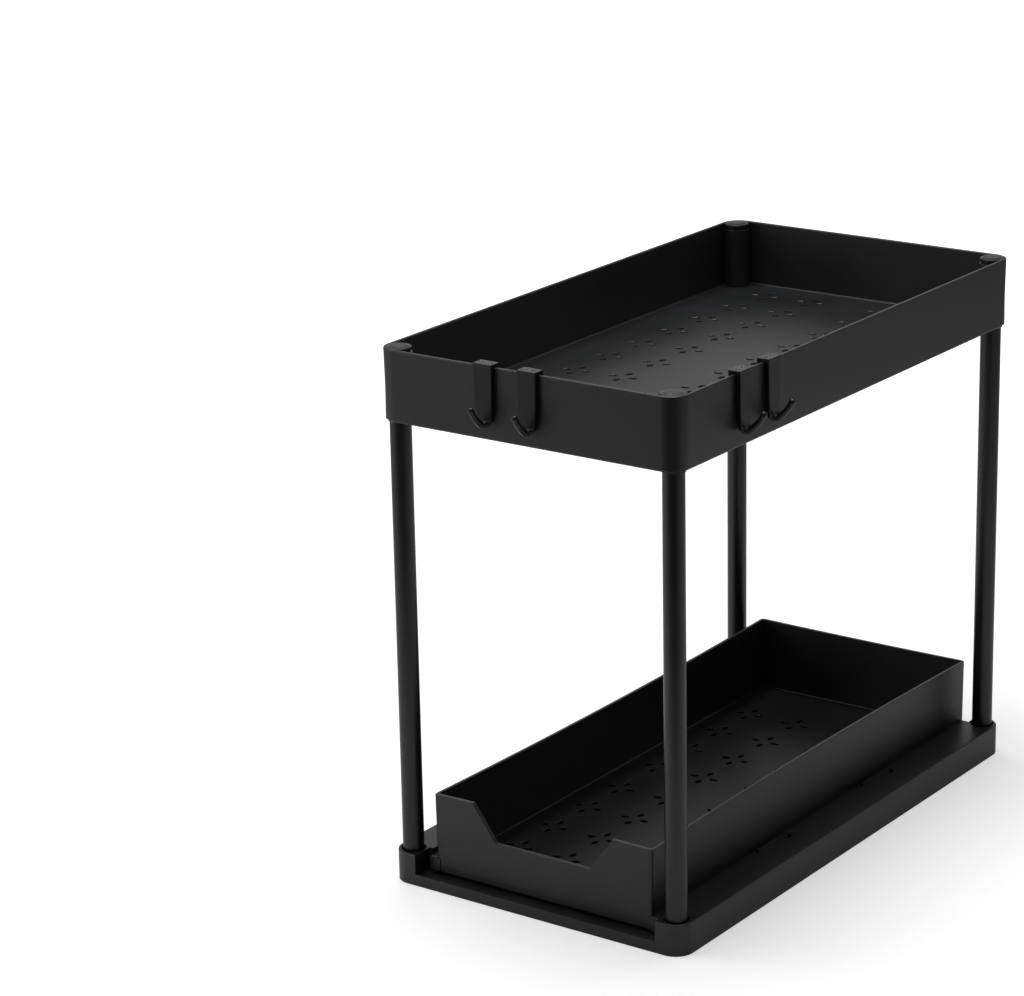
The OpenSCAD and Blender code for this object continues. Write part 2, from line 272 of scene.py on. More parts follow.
def flowerTree():
    tree = bpy.data.node_groups.new("flowerHoles", "GeometryNodeTree")
    face = tree.interface
    face.new_socket("Geometry", in_out="INPUT", socket_type="NodeSocketGeometry")
    for label, kind in (("Petal length", "NodeSocketFloat"), ("Petal width", "NodeSocketFloat"),
                        ("Petal distance", "NodeSocketFloat"), ("Flowers across", "NodeSocketInt"),
                        ("Flowers along", "NodeSocketInt"), ("Pitch across", "NodeSocketFloat"),
                        ("Pitch along", "NodeSocketFloat"), ("Gap across", "NodeSocketFloat"),
                        ("Gap along", "NodeSocketFloat"), ("Middle", "NodeSocketVector"),
                        ("Depth", "NodeSocketFloat"), ("Edge", "NodeSocketFloat"),
                        ("Finish", "NodeSocketMaterial")):
        face.new_socket(label, in_out="INPUT", socket_type=kind)
    face.new_socket("Geometry", in_out="OUTPUT", socket_type="NodeSocketGeometry")
    source = tree.nodes.new("NodeGroupInput").outputs
    sink = tree.nodes.new("NodeGroupOutput")

    def calc(operation, a, b=0.0):
        node = tree.nodes.new("ShaderNodeMath")
        node.operation = operation
        for socket, value in zip(node.inputs, (a, b)):
            if isinstance(value, (int, float)):
                socket.default_value = value
            else:
                tree.links.new(value, socket)
        return node.outputs[0]

    def place(index, count, pitch, gap):
        # copies on both sides of the middle, with their own gap there
        half = calc("FLOOR", calc("DIVIDE", count, 2.0))
        step = calc("MODULO", index, half)
        side = calc("SUBTRACT", calc("MULTIPLY", calc("GREATER_THAN", index, calc("SUBTRACT", half, 0.5)),
                                     2.0), 1.0)
        return calc("MULTIPLY", side, calc("ADD", calc("DIVIDE", gap, 2.0), calc("MULTIPLY", step, pitch)))

    index = addNode(tree, "GeometryNodeInputIndex").outputs[0]
    petal = calc("MODULO", index, 4.0)
    flower = calc("FLOOR", calc("DIVIDE", index, 4.0))
    column = calc("MODULO", flower, source["Flowers across"])
    row = calc("FLOOR", calc("DIVIDE", flower, source["Flowers across"]))
    x = place(column, source["Flowers across"], source["Pitch across"], source["Gap across"])
    y = place(row, source["Flowers along"], source["Pitch along"], source["Gap along"])
    total = calc("MULTIPLY", calc("MULTIPLY", source["Flowers across"], source["Flowers along"]), 4.0)
    spot = addNode(tree, "ShaderNodeCombineXYZ", links={"X": x, "Y": y})
    centre = addNode(tree, "ShaderNodeVectorMath", {"operation": "ADD"})
    tree.links.new(spot.outputs[0], centre.inputs[0])
    tree.links.new(source["Middle"], centre.inputs[1])
    points = addNode(tree, "GeometryNodePoints", links={"Count": total, "Position": centre.outputs[0]})
    turn = addNode(tree, "ShaderNodeCombineXYZ", links={"Z": calc("MULTIPLY", petal, math.pi / 2)})

    # a pointed petal: a round disc squeezed to a leaf, wider above the floor's surface
    # so that the hole gets a broken edge
    disc = addNode(tree, "GeometryNodeMeshCylinder", {}, {"Depth": source["Depth"]},
                   Vertices=20, Side_Segments=3, Radius=1.0)
    where = addNode(tree, "GeometryNodeInputPosition")
    parts = addNode(tree, "ShaderNodeSeparateXYZ", links={"Vector": where.outputs[0]})
    height = parts.outputs["Z"]
    above = calc("GREATER_THAN", height, 0.0)
    inner = calc("LESS_THAN", calc("ABSOLUTE", height), calc("DIVIDE", source["Depth"], 3.0))
    outer = calc("SUBTRACT", 1.0, inner)
    reach = calc("ADD", calc("MULTIPLY", inner, source["Edge"]),
                 calc("MULTIPLY", outer, calc("DIVIDE", source["Depth"], 2.0)))
    level = calc("MULTIPLY", reach, calc("SUBTRACT", calc("MULTIPLY", above, 2.0), 1.0))
    swell = calc("MULTIPLY", above, calc("MULTIPLY", source["Edge"], 2.0))
    halfLong = calc("ADD", calc("DIVIDE", source["Petal length"], 2.0), swell)
    halfWide = calc("ADD", calc("DIVIDE", source["Petal width"], 2.0), swell)
    long = calc("ADD", calc("MULTIPLY", parts.outputs["X"], halfLong), source["Petal distance"])
    wide = calc("MULTIPLY", calc("MULTIPLY", parts.outputs["Y"], calc("ABSOLUTE", parts.outputs["Y"])),
                halfWide)
    shape = addNode(tree, "ShaderNodeCombineXYZ", links={"X": long, "Y": wide, "Z": level})
    leaf = addNode(tree, "GeometryNodeSetPosition",
                   links={"Geometry": disc.outputs["Mesh"], "Position": shape.outputs[0]})
    copies = addNode(tree, "GeometryNodeInstanceOnPoints",
                     links={"Points": points.outputs[0], "Instance": leaf.outputs[0]})
    tree.links.new(turn.outputs[0], copies.inputs["Rotation"])
    solid = addNode(tree, "GeometryNodeRealizeInstances", links={"Geometry": copies.outputs[0]})
    cut = addNode(tree, "GeometryNodeMeshBoolean", {"operation": "DIFFERENCE", "solver": "EXACT"})
    tree.links.new(source["Geometry"], cut.inputs["Mesh 1"])
    tree.links.new(solid.outputs[0], cut.inputs["Mesh 2"])
    done = addNode(tree, "GeometryNodeSetMaterial",
                   links={"Geometry": cut.outputs["Mesh"], "Material": source["Finish"]})
    tree.links.new(done.outputs[0], sink.inputs[0])
    return tree


def setInputs(mod, values):
    for item in mod.node_group.interface.items_tree:
        if item.in_out == "INPUT" and item.name in values:
            mod[item.identifier] = values[item.name]


def cutFlowers(obj, tree, finish, sizes):
    mod = obj.modifiers.new("flowers", "NODES")
    mod.node_group = tree
    setInputs(mod, {
        "Petal length": sizes["petalLength"] * mm, "Petal width": sizes["petalWidth"] * mm,
        "Petal distance": sizes["petalDistance"] * mm,
        "Flowers across": sizes["across"], "Flowers along": sizes["along"],
        "Pitch across": sizes["pitchX"] * mm, "Pitch along": sizes["pitchY"] * mm,
        "Gap across": sizes["gapX"] * mm, "Gap along": sizes["gapY"] * mm,
        "Middle": [c * mm for c in sizes["middle"]], "Depth": sizes["depth"] * mm,
        "Edge": sizes["edge"] * mm, "Finish": finish})
    return flatten(obj)


holes = flowerTree()


# ---- materials

def plastic(name, dark, light, roughness, grain, depth, specular):
    # black moulded plastic: a fine spark-eroded grain that breaks up the highlight,
    # and wide soft patches of shine where the moulding cooled unevenly
    material = bpy.data.materials.new(name)
    material.use_nodes = True
    tree = material.node_tree
    shader = tree.nodes["Principled BSDF"]
    shader.inputs["IOR"].default_value = 1.5
    shader.inputs["Specular IOR Level"].default_value = specular
    coords = addNode(tree, "ShaderNodeTexCoord").outputs["Object"]
    # grain size in millimetres gives the noise scale per metre
    fine = addNode(tree, "ShaderNodeTexNoise", Scale=1000 / grain, Detail=2.0, Roughness=0.6,
                   links={"Vector": coords})
    wide = addNode(tree, "ShaderNodeTexNoise", Scale=1000 / 60, Detail=3.0, Roughness=0.55,
                   links={"Vector": coords})
    tint = addNode(tree, "ShaderNodeValToRGB", links={"Fac": wide.outputs["Fac"]})
    tint.color_ramp.elements[0].position = 0.3
    tint.color_ramp.elements[0].color = srgb(dark)
    tint.color_ramp.elements[1].position = 0.7
    tint.color_ramp.elements[1].color = srgb(light)
    tree.links.new(tint.outputs[0], shader.inputs["Base Color"])
    shine = addNode(tree, "ShaderNodeMapRange", links={"Value": wide.outputs["Fac"]},
                    To_Min=roughness - 0.05, To_Max=roughness + 0.05)
    tree.links.new(shine.outputs[0], shader.inputs["Roughness"])
    bump = addNode(tree, "ShaderNodeBump", Strength=0.35, Distance=depth * mm,
                   links={"Height": fine.outputs["Fac"]})
    tree.links.new(bump.outputs[0], shader.inputs["Normal"])
    return material


# polypropylene with a fine matt grain: dull black, soft wide highlight
bodyBlack = plastic("blackPolypropyleneMatt", "#141516", "#1a1b1d", 0.4, 0.9, 0.04, 0.5)
# the same plastic in a slightly smoother mould: small parts look a touch shinier
capBlack = plastic("blackPolypropyleneCap", "#111213", "#161718", 0.46, 0.7, 0.03, 0.45)
# ABS from a polished mould: semi-gloss black with a clear highlight on bends
hookBlack = plastic("blackAbsSemiGloss", "#101112", "#151618", 0.36, 0.8, 0.02, 0.38)


def powderCoat(name, dark, light, roughness):
    # satin powder coat on steel tube: faint orange peel that wobbles the long highlight
    material = bpy.data.materials.new(name)
    material.use_nodes = True
    tree = material.node_tree
    shader = tree.nodes["Principled BSDF"]
    shader.inputs["IOR"].default_value = 1.5
    coords = addNode(tree, "ShaderNodeTexCoord").outputs["Object"]
    peel = addNode(tree, "ShaderNodeTexNoise", Scale=1000 / 1.6, Detail=1.0, Roughness=0.4,
                   links={"Vector": coords})
    cloud = addNode(tree, "ShaderNodeTexNoise", Scale=1000 / 40, Detail=2.0, links={"Vector": coords})
    tint = addNode(tree, "ShaderNodeValToRGB", links={"Fac": cloud.outputs["Fac"]})
    tint.color_ramp.elements[0].color = srgb(dark)
    tint.color_ramp.elements[1].color = srgb(light)
    tree.links.new(tint.outputs[0], shader.inputs["Base Color"])
    shine = addNode(tree, "ShaderNodeMapRange", links={"Value": cloud.outputs["Fac"]},
                    To_Min=roughness - 0.04, To_Max=roughness + 0.04)
    tree.links.new(shine.outputs[0], shader.inputs["Roughness"])
    bump = addNode(tree, "ShaderNodeBump", Strength=0.3, Distance=0.03 * mm,
                   links={"Height": peel.outputs["Fac"]})
    tree.links.new(bump.outputs[0], shader.inputs["Normal"])
    return material


postBlack = powderCoat("blackPowderCoatSatin", "#080809", "#0c0c0d", 0.32)
print("materials ready")


def finishPiece(obj, name, material, nodes, body):
    obj.name = name
    obj.data.name = name
    obj.data.materials.clear()
    obj.data.materials.append(material)
    obj.data.polygons.foreach_set("material_index", [0] * len(obj.data.polygons))
    smooth(obj)
    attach(obj, body)
    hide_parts(*nodes)
    return obj


# ---- top tray

topTray = {
    "halfX": 104.9, "halfY": 195.0, "cornerR": 12.0,
    "lowZ": 292.0, "rimZ": 336.0, "wall": 2.4, "floor": 2.0,
    "draft": 0.7, "footR": 1.5, "rimR": 0.75, "innerR": 1.2,
    "dome": 3.0,
    "sleeveR": 8.3, "sleeveLowR": 8.6, "sleeveTop": 332.6,
    "collarR": 7.2, "collarDrop": 1.2, "boreR": 6.6, "recessR": 8.1,
    "petalLength": 6.4, "petalWidth": 3.6, "petalDistance": 7.1,
    "across": 4, "along": 10, "pitchX": 34.6, "gapX": 51.8, "pitchY": 36.6, "gapY": 36.6,
    "middle": (0, 0, 294), "depth": 8.0, "edge": 0.3,
}


def tubProfile(t, floorInsets):
    # from the middle of the underside, round the foot, up, over the rim and down to the floor
    low, top, floorTop = t["lowZ"], t["rimZ"], t["lowZ"] + t["floor"]
    rim = t["wall"] / 2
    profile = [(inset, low) for inset in reversed(floorInsets)]
    foot = quarter(t["draft"] + t["footR"], low + t["footR"], t["footR"], 270, 180)
    profile += foot
    profile += [(t["draft"] * 0.66, low + (top - low) * 0.35), (t["draft"] * 0.33, low + (top - low) * 0.7)]
    r = t["rimR"]
    profile += quarter(r, top - r, r, 180, 90)
    profile += quarter(t["wall"] - r, top - r, r, 90, 0)
    inner = t["wall"] + 0.15
    profile += [(inner, low + (top - low) * 0.7), (inner + 0.1, low + (top - low) * 0.35)]
    r = t["innerR"]
    profile += quarter(inner + 0.2 + r, floorTop + r, r, 180, 270)
    profile += [(inset, floorTop) for inset in floorInsets]
    return profile


def makeTopTray(t):
    insets = [4.6, 8, 13, 20, 28, 37, 47, 58, 69, 80, 91, 100, 103]
    tray = loftTub("topTray", t["halfX"], t["halfY"], t["cornerR"], tubProfile(t, insets),
                   alongX=20, alongY=36, arc=12)

    def dome(x, y, z):
        inside = max(0.0, 1 - (x / 101) ** 2) * max(0.0, 1 - (y / 191) ** 2)
        return (x, y, z + t["dome"] * inside if z < t["lowZ"] + t["floor"] + 0.3 else z)

    sleeves, bores = [], []
    top, low = t["sleeveTop"], t["lowZ"]
    for sx in (-1, 1):
        for sy in (-1, 1):
            centre = (sx * organizer["postX"], sy * organizer["postY"])
            sleeves.append(lathe([(0, low - t["collarDrop"]), (t["collarR"] - 0.3, low - t["collarDrop"]),
                                  (t["collarR"], low - t["collarDrop"] + 0.3), (t["collarR"], low + 0.7),
                                  (t["sleeveLowR"], low + 0.9), (t["sleeveR"], top - 0.4),
                                  (t["sleeveR"] - 0.15, top - 0.1), (t["sleeveR"] - 0.4, top), (0, top)],
                                 centre))
            bores.append(lathe([(0, low - 9), (t["boreR"], low - 9), (t["boreR"], top - 1.6), (5.6, top - 1.6),
                                (5.6, top + 0.1), (t["recessR"], top + 0.1), (t["recessR"], top + 20),
                                (0, top + 20)], centre))
    combine(tray, sleeves, "UNION")
    combine(tray, bores, "DIFFERENCE")
    return warp(cutFlowers(tray, holes, bodyBlack, t), dome)


finishPiece(makeTopTray(topTray), "topTrayShell", bodyBlack, ["top_tray"], "frame_body")
print("top tray ready")


# ---- drawer

drawer = {
    "halfX": 79.1, "halfY": 188.25, "middleY": 3.05, "cornerR": 3.0,
    "lowZ": 7.8, "rimZ": 58.5, "wall": 2.1, "floor": 2.2, "frontExtra": 0.9,
    "draft": 0.6, "footR": 1.2, "rimR": 0.35, "innerR": 1.0,
    "sideBow": 3.7, "frontBow": 1.8, "backBow": 1.0,
    "notchTop": 50.5, "notchLow": 34.0, "notchZ": 36.0, "notchR": 1.1,
    "runnerOut": 83.3, "runnerTop": 17.3, "runnerWall": 1.6,
    "petalLength": 6.4, "petalWidth": 3.6, "petalDistance": 7.1,
    "across": 4, "along": 8, "pitchX": 35.6, "gapX": 40.6, "pitchY": 37.4, "gapY": 43.4,
    "middle": (0, 3.5, 10), "depth": 8.0, "edge": 0.3,
}


def makeDrawer(d):
    insets = [4.4, 8, 13, 20, 29, 39, 50, 61, 71, 77]
    bin = loftTub("drawer", d["halfX"], d["halfY"], d["cornerR"], tubProfile(d, insets),
                  alongX=24, alongY=44, arc=6)
    low, top, mid, halfY = d["lowZ"], d["rimZ"], d["middleY"], d["halfY"]

    def thickenFront(x, y, z):
        inner = -halfY + 1.9 < y < -halfY + 3.4 and z > low + 2
        return (x, y + mid + (d["frontExtra"] if inner else 0), z)

    warp(bin, thickenFront)

    # hand notch, with its edges rounded over
    notch = prism([(-d["notchLow"], d["notchZ"]), (d["notchLow"], d["notchZ"]),
                   (d["notchTop"], top), (d["notchTop"] + 12, top + 16.3),
                   (-d["notchTop"] - 12, top + 16.3), (-d["notchTop"], top)],
                  mid - halfY - 5, mid - halfY + 8, lambda u, v, w: (u, w, v))
    combine(bin, [notch], "DIFFERENCE")

    def onNotch(a, b):
        if max(a.y, b.y) > mid - halfY + 6:
            return False
        slope = (d["notchTop"] - d["notchLow"]) / (top - d["notchZ"])
        for p in (a, b):
            edge = d["notchLow"] + (p.z - d["notchZ"]) * slope
            if p.z < d["notchZ"] - 0.02 or (abs(p.z - d["notchZ"]) > 0.02 and abs(abs(p.x) - edge) > 0.05):
                return False
        return True

    bevelWhere(bin, onNotch, d["notchR"], 3, 30)

    def bow(x, y, z):
        # long walls lean in at mid length, most at the rim; front and back lean in a little
        up = max(0.0, (z - low - 2.2) / (top - low - 2.2))
        lengthwise = max(0.0, 1 - ((y - mid) / halfY) ** 2)
        across = max(0.0, 1 - (x / d["halfX"]) ** 2)
        if abs(x) > 70:
            x -= math.copysign(d["sideBow"] * up ** 1.4 * lengthwise, x)
        if y < mid - halfY + 5:
            y += d["frontBow"] * up * across
        elif y > mid + halfY - 4:
            y -= d["backBow"] * up * across
        return (x, y, z)

    warp(bin, bow)
    cutFlowers(bin, holes, bodyBlack, d)

    # hollow runners, flush with the panel
    front, back = mid - halfY, mid + halfY - 3
    runners = []
    for side in (-1, 1):
        x0, x1 = sorted((side * 77.9, side * d["runnerOut"]))
        runner = block((x0, front, low + 0.02), (x1, back, d["runnerTop"]))
        outer = side * d["runnerOut"]
        bevelWhere(runner, lambda a, b: abs(a.x - outer) < 0.1 and abs(b.x - outer) < 0.1
                   and abs(a.z - b.z) < 0.1 and a.z < low + 1, 2.0, 4)
        bevelWhere(runner, lambda a, b: min(abs(a.x), abs(b.x)) > 78.2, 0.5, 2, 50)
        # its front end fills the panel's rounded corner
        x0, x1 = sorted((side * 75.5, side * 80.5))
        corner = block((x0, front - 0.03, low + 0.9), (x1, front + 4, d["runnerTop"] - 0.5))
        runners.append(corner)
        h0, h1 = sorted((side * 79.6, side * (d["runnerOut"] - d["runnerWall"])))
        hollow = block((h0, front + 3, low - 2), (h1, back - 1.6, d["runnerTop"] - d["runnerWall"]))
        combine(runner, [hollow], "DIFFERENCE")
        b0, b1 = sorted((side * (d["runnerOut"] - 1), side * (d["runnerOut"] + 0.7)))
        stop = block((b0, back - 4, low + 1), (b1, back, d["runnerTop"] - 1))
        bevelWhere(stop, lambda a, b: True, 0.3, 2, 50)
        runners += [runner, stop]
    return joinInto(bin, runners)


finishPiece(makeDrawer(drawer), "drawerBin", bodyBlack, ["drawer"], "drawer_body")
print("drawer ready")


# ---- base

baseTray = {
    "width": 211.0, "depth": 390.0, "cornerR": 12.0, "height": 20.0, "wall": 2.2,
    "channelX": 84.3, "gateX": 87.0, "gateY": 180.0,
    "floorZ": 6.4, "floorT": 2.0, "lipZ": 7.4, "backStopX": 30.0, "backStopZ": 12.0,
    "socketR": 6.6, "socketZ": 3.0, "ringR": 7.7, "ringDepth": 2.0,
    "tabY": 62.5, "tabLength": 26.5, "tabTip": 81.5, "tabZ": 17.9, "tabT": 2.4, "slotLength": 5.5,
    "slotWide": 4.0, "rimR": 0.8,
    "ribPitchX": 26.375, "ribPitchY": 32.5, "ribT": 2.0,
}


def ribTree():
    # thin bars side by side, stiffening the underside
    tree = bpy.data.node_groups.new("stiffeningRibs", "GeometryNodeTree")
    face = tree.interface
    face.new_socket("Geometry", in_out="INPUT", socket_type="NodeSocketGeometry")
    for label, kind in (("Count", "NodeSocketInt"), ("Start", "NodeSocketVector"),
                        ("Step", "NodeSocketVector"), ("Size", "NodeSocketVector"),
                        ("Finish", "NodeSocketMaterial")):
        face.new_socket(label, in_out="INPUT", socket_type=kind)
    face.new_socket("Geometry", in_out="OUTPUT", socket_type="NodeSocketGeometry")
    source = tree.nodes.new("NodeGroupInput").outputs
    sink = tree.nodes.new("NodeGroupOutput")
    row = addNode(tree, "GeometryNodeMeshLine",
                  links={"Count": source["Count"], "Start Location": source["Start"],
                         "Offset": source["Step"]})
    bar = addNode(tree, "GeometryNodeMeshCube", links={"Size": source["Size"]})
    copies = addNode(tree, "GeometryNodeInstanceOnPoints",
                     links={"Points": row.outputs[0], "Instance": bar.outputs["Mesh"]})
    solid = addNode(tree, "GeometryNodeRealizeInstances", links={"Geometry": copies.outputs[0]})
    both = addNode(tree, "GeometryNodeJoinGeometry")
    tree.links.new(solid.outputs[0], both.inputs[0])
    tree.links.new(source["Geometry"], both.inputs[0])
    done = addNode(tree, "GeometryNodeSetMaterial",
                   links={"Geometry": both.outputs[0], "Material": source["Finish"]})
    tree.links.new(done.outputs[0], sink.inputs[0])
    return tree


def makeBase(b):
    halfX, halfY = b["width"] / 2, b["depth"] / 2
    base = prism(roundedRing(halfX, halfY, b["cornerR"], 1, 1, 14), 0, b["height"])
    top = b["height"]

    def onTopRim(p):
        if abs(p.z - top) > 0.01:
            return False
        dx, dy = abs(p.x) - (halfX - b["cornerR"]), abs(p.y) - (halfY - b["cornerR"])
        if dx > 0 and dy > 0:
            return math.hypot(dx, dy) > b["cornerR"] - 0.1
        return abs(abs(p.x) - halfX) < 0.05 or abs(abs(p.y) - halfY) < 0.05

    bevelWhere(base, lambda p, q: onTopRim(p) and onTopRim(q), b["rimR"], 4)
    bevelWhere(base, lambda p, q: p.z < 0.01 and q.z < 0.01, 0.4, 2)

    cx, gx, gy, fz, lz = b["channelX"], b["gateX"], b["gateY"], b["floorZ"], b["lipZ"]
    inner = halfY - b["wall"]
    cuts = [block((-cx, -gy - 1, fz), (cx, gy + 1, 40)),
            block((-gx, -inner, fz - 0.001), (gx, -gy, 41)),
            block((-gx, gy, fz - 0.001), (gx, inner, 41)),
            block((-gx + 0.001, -halfY - 5, lz), (gx - 0.001, -gy - 2, 42)),
            block((b["backStopX"], gy + 2, lz), (gx - 0.001, halfY + 5, 42)),
            block((-gx + 0.001, gy + 2, lz), (-b["backStopX"], halfY + 5, 42)),
            block((-b["backStopX"] - 1, gy + 2, b["backStopZ"]), (b["backStopX"] + 1, halfY + 5, 43))]
    combine(base, cuts, "DIFFERENCE")

    def inGate(p, q):
        # upright corners of the end blocks and the edges round the channel
        upright = abs(p.x - q.x) < 0.01 and abs(p.y - q.y) < 0.01
        if upright and abs(abs(p.x) - gx) < 0.1 and abs(abs(p.y) - halfY) < 0.1:
            return True
        onTop = abs(p.z - top) < 0.01 and abs(q.z - top) < 0.01
        return onTop and abs(p.x) < gx + 0.5 and abs(q.x) < gx + 0.5

    bevelWhere(base, inGate, 0.6, 3, 40)

    def onLip(p, q):
        return (abs(p.z - lz) < 0.01 and abs(q.z - lz) < 0.01
                and abs(p.y) > inner - 0.1 and abs(q.y) > inner - 0.1 and abs(p.x - q.x) > 20)

    bevelWhere(base, onLip, 0.8, 3, 40)

    sockets = [lathe([(0, b["socketZ"]), (b["socketR"], b["socketZ"]),
                      (b["socketR"], top - b["ringDepth"]), (b["ringR"], top - b["ringDepth"]),
                      (b["ringR"], top - 0.3), (b["ringR"] + 0.3, top), (b["ringR"] + 0.3, top + 5),
                      (0, top + 5)], (sx * organizer["postX"], sy * organizer["postY"]))
               for sx in (-1, 1) for sy in (-1, 1)]
    combine(base, sockets, "DIFFERENCE")

    # slots by the tabs, and the hollows of the underside
    slots, hollows = [], []
    end = b["tabY"] + b["tabLength"] / 2
    for side in (-1, 1):
        x0, x1 = sorted((side * (cx - 1), side * (cx + b["slotWide"])))
        for y in (end, end - 2 * b["tabY"]):
            slots.append(block((x0, y, b["tabZ"] - 1.5), (x1, y + b["slotLength"], 40)))
        x0, x1 = sorted((side * (cx + b["wall"]), side * (halfX - b["wall"])))
        hollows.append(block((x0, -170, -5), (x1, 170, top - b["wall"])))
    hollows.append(block((-cx + b["wall"], -inner, -5), (cx - b["wall"], inner, fz - b["floorT"])))
    combine(base, slots + hollows, "DIFFERENCE")

    # tabs over the runners, stop bumps and rails
    details = []
    for side in (-1, 1):
        x0, x1 = sorted((side * b["tabTip"], side * (cx + 0.8)))
        for y in (-b["tabY"], b["tabY"]):
            tab = block((x0, y - b["tabLength"] / 2, b["tabZ"]),
                        (x1, y + b["tabLength"] / 2, b["tabZ"] + b["tabT"]))
            bevelWhere(tab, lambda p, q: min(abs(p.x), abs(q.x)) < cx - 0.5, 0.45, 3, 50)
            details.append(tab)
        x0, x1 = sorted((side * (cx - 0.7), side * (cx + 0.8)))
        bump = block((x0, -60.0, 9), (x1, -56.0, 16.3))
        x0, x1 = sorted((side * 73.1, side * 76.1))
        rail = block((x0, -180, fz - 1), (x1, 190.6, fz + 1.1))
        bevelWhere(rail, lambda p, q: p.z > fz and q.z > fz, 0.3, 2, 50)
        details += [bump, rail]
    joinInto(base, details)

    # ribs in both directions
    for count, start, step, size in (
            (7, (-3 * b["ribPitchX"], 0, 2.5), (b["ribPitchX"], 0, 0), (b["ribT"], 2 * inner + 1, 4.9)),
            (11, (0, -5 * b["ribPitchY"], 2.5), (0, b["ribPitchY"], 0), (2 * cx - 3.4, b["ribT"], 4.88)),
            (11, (94.9, -5 * b["ribPitchY"], 9.0), (0, b["ribPitchY"], 0), (17.6, b["ribT"], 17.9)),
            (11, (-94.9, -5 * b["ribPitchY"], 9.0), (0, b["ribPitchY"], 0), (17.6, b["ribT"], 17.9))):
        mod = base.modifiers.new("ribs", "NODES")
        mod.node_group = ribs
        setInputs(mod, {"Count": count, "Start": [c * mm for c in start], "Step": [c * mm for c in step],
                        "Size": [c * mm for c in size], "Finish": bodyBlack})
        flatten(base)
    return base


ribs = ribTree()
finishPiece(makeBase(baseTray), "baseTray", bodyBlack, ["base"], "frame_body")
print("base ready")


# ---- posts and caps

post = {"r": 6.55, "wall": 1.0, "lowZ": 3.0, "topZ": 331.0}
cap = {"headR": 7.9, "neckR": 6.9, "plugR": 5.5, "plugLow": 318.6, "sleeveTop": 332.6,
       "headLow": 334.0, "rimZ": 336.0, "flatR": 5.2, "rise": 0.6, "edgeR": 0.5}


def makePost(p, centre):
    r, wall = p["r"], p["wall"]
    return lathe([(r - wall, p["lowZ"] + 0.2), (r - wall + 0.2, p["lowZ"]), (r - 0.2, p["lowZ"]),
                  (r, p["lowZ"] + 0.2), (r, p["topZ"] - 0.2), (r - 0.2, p["topZ"]),
                  (r - wall + 0.2, p["topZ"]), (r - wall, p["topZ"] - 0.2)], centre, 72)


def makeCap(c, centre):
    r, e = c["headR"], c["edgeR"]
    edge = quarter(r - e, c["rimZ"] - e, e, 0, 80, 4)
    profile = [(0, c["plugLow"]), (c["plugR"] - 0.6, c["plugLow"]), (c["plugR"], c["plugLow"] + 0.6),
               (c["plugR"], c["sleeveTop"]), (c["neckR"], c["sleeveTop"]), (c["neckR"], c["headLow"]),
               (r - 0.3, c["headLow"]), (r, c["headLow"] + 0.3)]
    profile += edge
    # the middle stands slightly proud behind a soft step
    top = c["rimZ"] + c["rise"]
    profile += [(c["flatR"] + 0.9, c["rimZ"] + 0.12), (c["flatR"] + 0.35, top - 0.16),
                (c["flatR"] - 0.2, top - 0.02), (c["flatR"] * 0.5, top), (0, top)]
    return lathe(profile, centre, 72)


for front, sy in (("front", -1), ("back", 1)):
    for side, sx in (("left", -1), ("right", 1)):
        centre = (sx * organizer["postX"], sy * organizer["postY"])
        corner = front + "_" + side
        label = front.capitalize() + side.capitalize()
        finishPiece(makePost(post, centre), "postTube" + label, postBlack, ["post_" + corner],
                    "frame_body")
        finishPiece(makeCap(cap, centre), "postCap" + label, capBlack, ["cap_" + corner],
                    "frame_body")
print("posts and caps ready")


# ---- hooks

hook = {
    "width": 12.8, "gap": 0.3, "strapT": 3.0, "lipT": 2.4, "lipLength": 6.0, "bridgeT": 1.8,
    "rimWall": 2.4, "edgeR": 0.28, "crown": 0.4,
    "strapU": 1.8, "bendZ": -30.9, "bendR": 2.5, "bendTo": 36.0,
    "tipU": 14.7, "tipZ": -22.7, "rootR": 2.1, "fingerR": 1.8, "tipR": 1.95,
    "dimpleX": 3.1, "dimpleR": 1.3, "dimpleDepth": 0.5,
}


